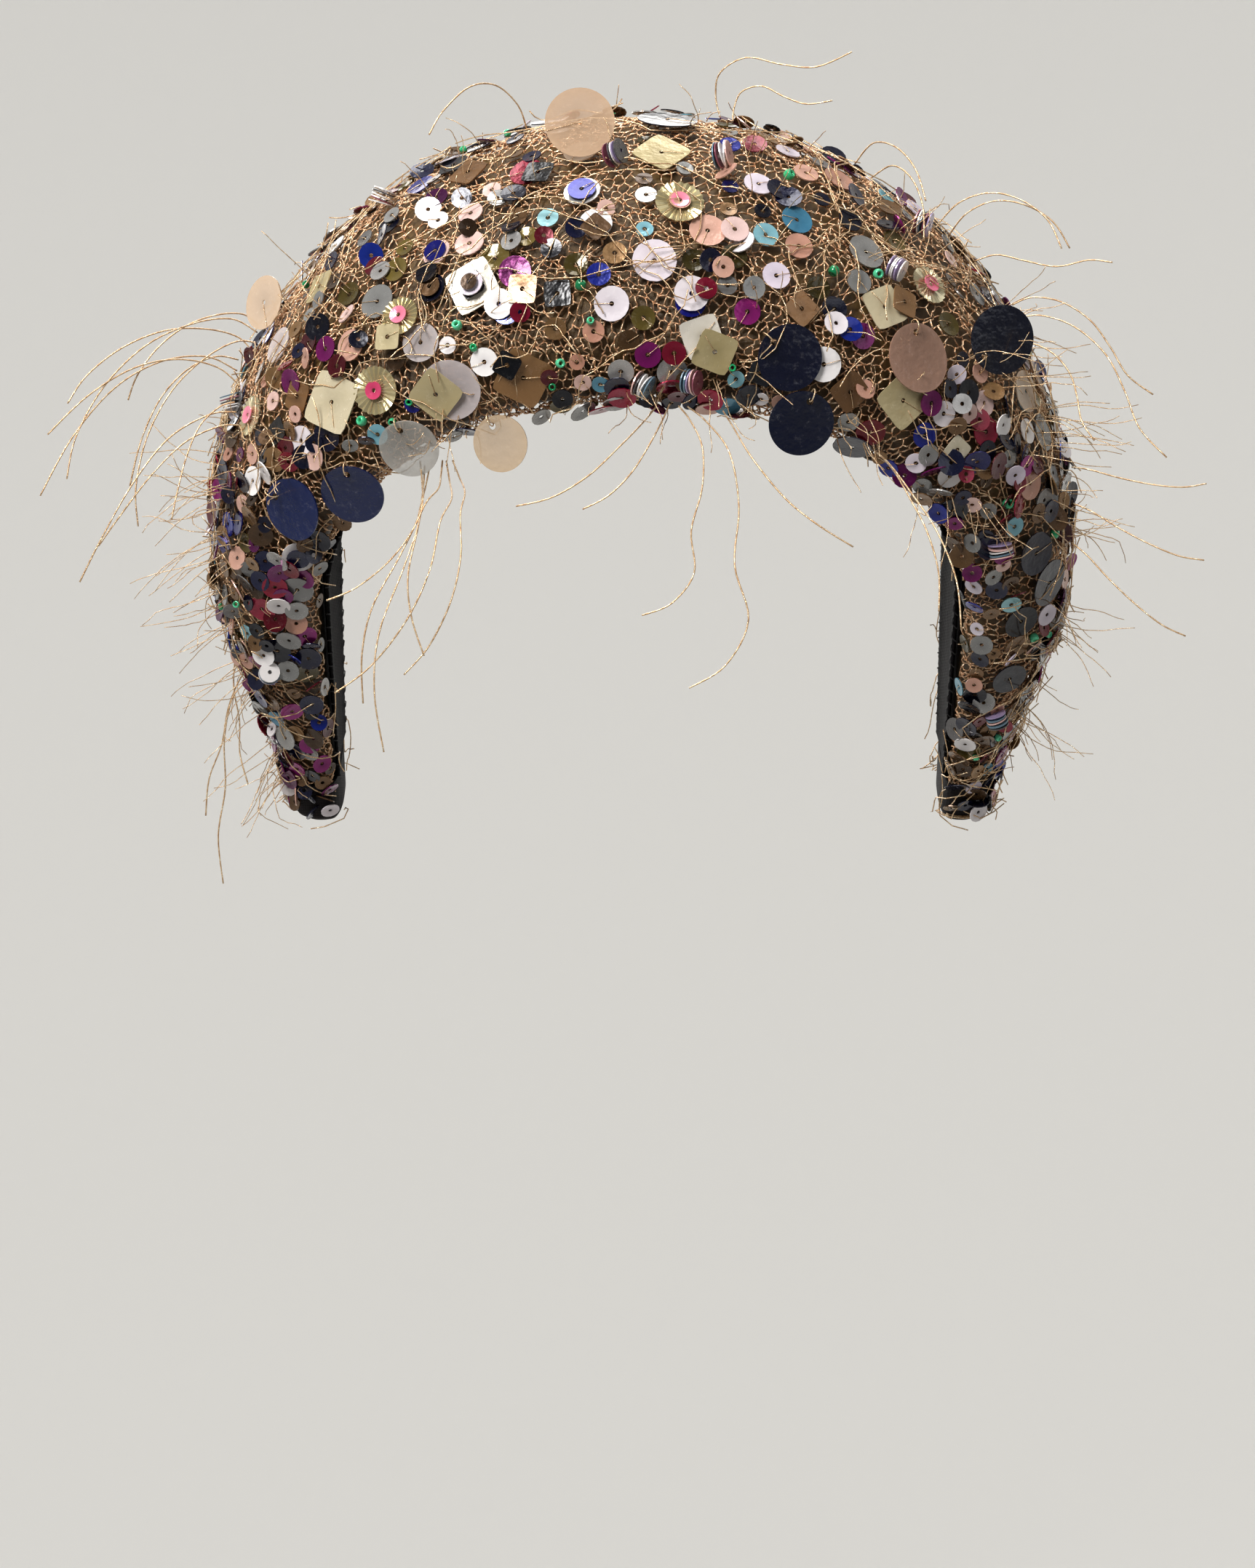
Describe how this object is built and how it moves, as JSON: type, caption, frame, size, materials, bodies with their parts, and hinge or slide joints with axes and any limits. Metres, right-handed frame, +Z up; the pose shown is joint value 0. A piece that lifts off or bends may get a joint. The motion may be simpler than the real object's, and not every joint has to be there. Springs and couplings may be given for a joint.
{
  "type": "fascinator headpiece",
  "caption": "Padded crescent hair band covered with metallic net over bronze satin, crusted with sewn sequins, hanging paillettes and loose gold threads.",
  "frame": {"origin": "where the lining touches the top of the head, on the mid-plane of the band", "axes": "as worn: +Z up, the face looks along -Y, +X to the picture right of a person seen from the front"},
  "size_m": [0.2732, 0.145, 0.1932],
  "materials": {
    "lining": "dark woven grosgrain ribbon, matt",
    "spring_plastic": "satin black moulded plastic",
    "buckram": "stiff open-weave buckram",
    "wire": "cotton-covered milliner wire",
    "foam": "open-cell foam, cream",
    "wadding": "white polyester wadding",
    "satin": "bronze-gold satin with a soft sheen",
    "net_yarn": "copper-gold metallic yarn, sparkling",
    "binding": "dark ribbon binding",
    "white_sequin": "pearl white, glossy",
    "blush_sequin": "blush pink, translucent and glossy",
    "royal_blue_sequin": "royal blue, glossy",
    "navy_sequin": "deep navy, glossy",
    "magenta_sequin": "magenta purple, metallic gloss",
    "crimson_sequin": "crimson, metallic gloss",
    "aqua_sequin": "aqua and sky blue, iridescent",
    "silver_sequin": "silver grey, metallic",
    "bronze_sequin": "bronze brown, metallic",
    "fluted_gold": "pale gold, fluted, metallic",
    "gold_square": "pale gold, pearly",
    "bronze_square": "brown, metallic",
    "black_square": "black, glossy",
    "olive_cup": "olive bronze, transparent",
    "green_glass": "emerald glass, glossy",
    "stack_sequin": "mixed pearl sequins on edge",
    "clear_disc": "clear, faintly smoky",
    "peach_disc": "peach, translucent",
    "dark_disc": "slate and ink, glossy",
    "stitch_thread": "metallic stitching thread",
    "navy_paillette": "navy, glossy, scuffed",
    "smoke_paillette": "smoky grey, translucent",
    "peach_paillette": "peach gold, translucent",
    "ink_paillette": "ink navy, glossy",
    "mauve_paillette": "brown mauve, sheer and scratched",
    "loose_thread": "fine metallic gold thread"
  },
  "bodies": {
    "band": {"lining_ribbon": "lining", "spring_band": "spring_plastic", "buckram_base": "buckram", "front_edge_wire": "wire", "back_edge_wire": "wire", "foam_pad": "foam", "wadding_layer": "wadding", "satin_cover": "satin", "net_cover": "net_yarn", "tip_binding_left": "binding", "tip_binding_right": "binding", "white_sequins": "white_sequin", "blush_sequins": "blush_sequin", "royal_blue_sequins": "royal_blue_sequin", "navy_sequins": "navy_sequin", "magenta_sequins": "magenta_sequin", "crimson_sequins": "crimson_sequin", "aqua_sequins": "aqua_sequin", "silver_sequins": "silver_sequin", "bronze_sequins": "bronze_sequin", "fluted_sequins": "fluted_gold", "gold_squares": "gold_square", "bronze_squares": "bronze_square", "black_squares": "black_square", "olive_cups": "olive_cup", "green_beads": "green_glass", "sequin_stacks": "stack_sequin", "clear_discs": "clear_disc", "peach_discs": "peach_disc", "dark_discs": "dark_disc", "paillette_loops": "stitch_thread", "thread_top_left": "loose_thread", "thread_top_curl": "loose_thread", "thread_top_right": "loose_thread", "thread_right_loop": "loose_thread", "thread_right_stray": "loose_thread", "thread_right_long": "loose_thread", "thread_right_low": "loose_thread", "thread_left_far": "loose_thread", "thread_left_long": "loose_thread", "thread_left_low": "loose_thread", "thread_left_tip": "loose_thread", "thread_forehead_left": "loose_thread", "thread_forehead_fan": "loose_thread", "thread_forehead_short": "loose_thread", "thread_forehead_centre": "loose_thread", "thread_forehead_right": "loose_thread", "thread_inner_right": "loose_thread"},
    "paillette_left_outer": {"paillette_left_outer": "navy_paillette"},
    "paillette_left_inner": {"paillette_left_inner": "navy_paillette"},
    "paillette_smoke_left": {"paillette_smoke_left": "smoke_paillette"},
    "paillette_forehead_left": {"paillette_forehead_left": "peach_paillette"},
    "paillette_forehead_right": {"paillette_forehead_right": "ink_paillette"},
    "paillette_centre": {"paillette_centre": "ink_paillette"},
    "paillette_mauve_right": {"paillette_mauve_right": "mauve_paillette"},
    "paillette_navy_right": {"paillette_navy_right": "ink_paillette"}
  },
  "joints": [
    {"name": "flap_left_outer", "type": "hinge", "parent": "band", "child": "paillette_left_outer", "pos_m": [-0.08658, -0.00277, -0.05114], "axis": [-0.3648, 0.574, -0.7332], "range_deg": [0, 70]},
    {"name": "flap_left_inner", "type": "hinge", "parent": "band", "child": "paillette_left_inner", "pos_m": [-0.06825, -0.01399, -0.04658], "axis": [-0.9657, 0.2569, -0.0376], "range_deg": [0, 70]},
    {"name": "flap_smoke_left", "type": "hinge", "parent": "band", "child": "paillette_smoke_left", "pos_m": [-0.05576, -0.02318, -0.03746], "axis": [-0.9037, 0.3472, -0.2507], "range_deg": [0, 70]},
    {"name": "flap_forehead_left", "type": "hinge", "parent": "band", "child": "paillette_forehead_left", "pos_m": [-0.0346, -0.02594, -0.0367], "axis": [-0.8589, 0.3778, -0.3459], "range_deg": [0, 70]},
    {"name": "flap_forehead_right", "type": "hinge", "parent": "band", "child": "paillette_forehead_right", "pos_m": [0.03799, -0.03035, -0.03166], "axis": [-0.9277, -0.2731, 0.2544], "range_deg": [0, 70]},
    {"name": "flap_centre", "type": "hinge", "parent": "band", "child": "paillette_centre", "pos_m": [0.02799, -0.03491, -0.01923], "axis": [-0.6523, -0.0254, -0.7576], "range_deg": [0, 70]},
    {"name": "flap_mauve_right", "type": "hinge", "parent": "band", "child": "paillette_mauve_right", "pos_m": [0.06165, -0.02343, -0.01511], "axis": [-0.8479, -0.523, -0.0871], "range_deg": [0, 70]},
    {"name": "flap_navy_right", "type": "hinge", "parent": "band", "child": "paillette_navy_right", "pos_m": [0.07754, -0.01234, -0.02141], "axis": [0.5879, 0.3527, -0.728], "range_deg": [0, 70]}
  ]
}
